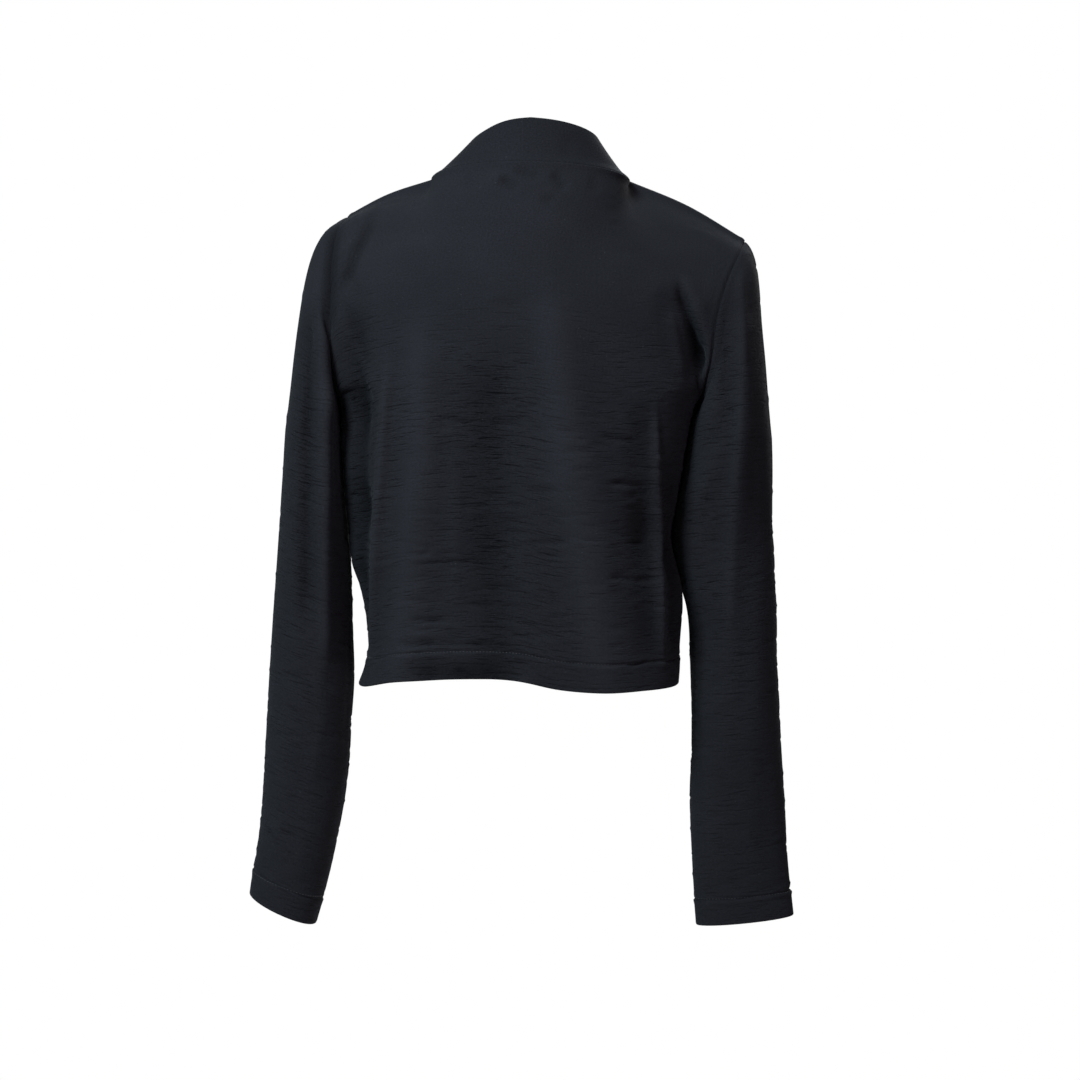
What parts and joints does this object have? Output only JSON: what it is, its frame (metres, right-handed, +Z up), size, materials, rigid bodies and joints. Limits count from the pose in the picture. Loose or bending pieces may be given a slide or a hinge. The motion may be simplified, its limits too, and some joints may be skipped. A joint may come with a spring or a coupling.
{
  "type": "cardigan",
  "caption": "Cropped open-front cardigan in fine black knit: a band stands as the collar and runs down both fronts, long set-in sleeves, turned hems, hollow as worn.",
  "frame": {"origin": "middle of the neck, level with the points where the shoulder seams meet the collar band", "axes": "+Z up, +Y towards the wearer's back, +X towards the wearer's left"},
  "size_m": [0.5026, 0.2315, 0.737],
  "materials": {
    "black_knit": "matt fine merino knit"
  },
  "bodies": {
    "root": {"back": "black_knit", "front_left": "black_knit", "front_right": "black_knit", "sleeve_left": "black_knit", "sleeve_right": "black_knit", "band": "black_knit"}
  },
  "joints": []
}
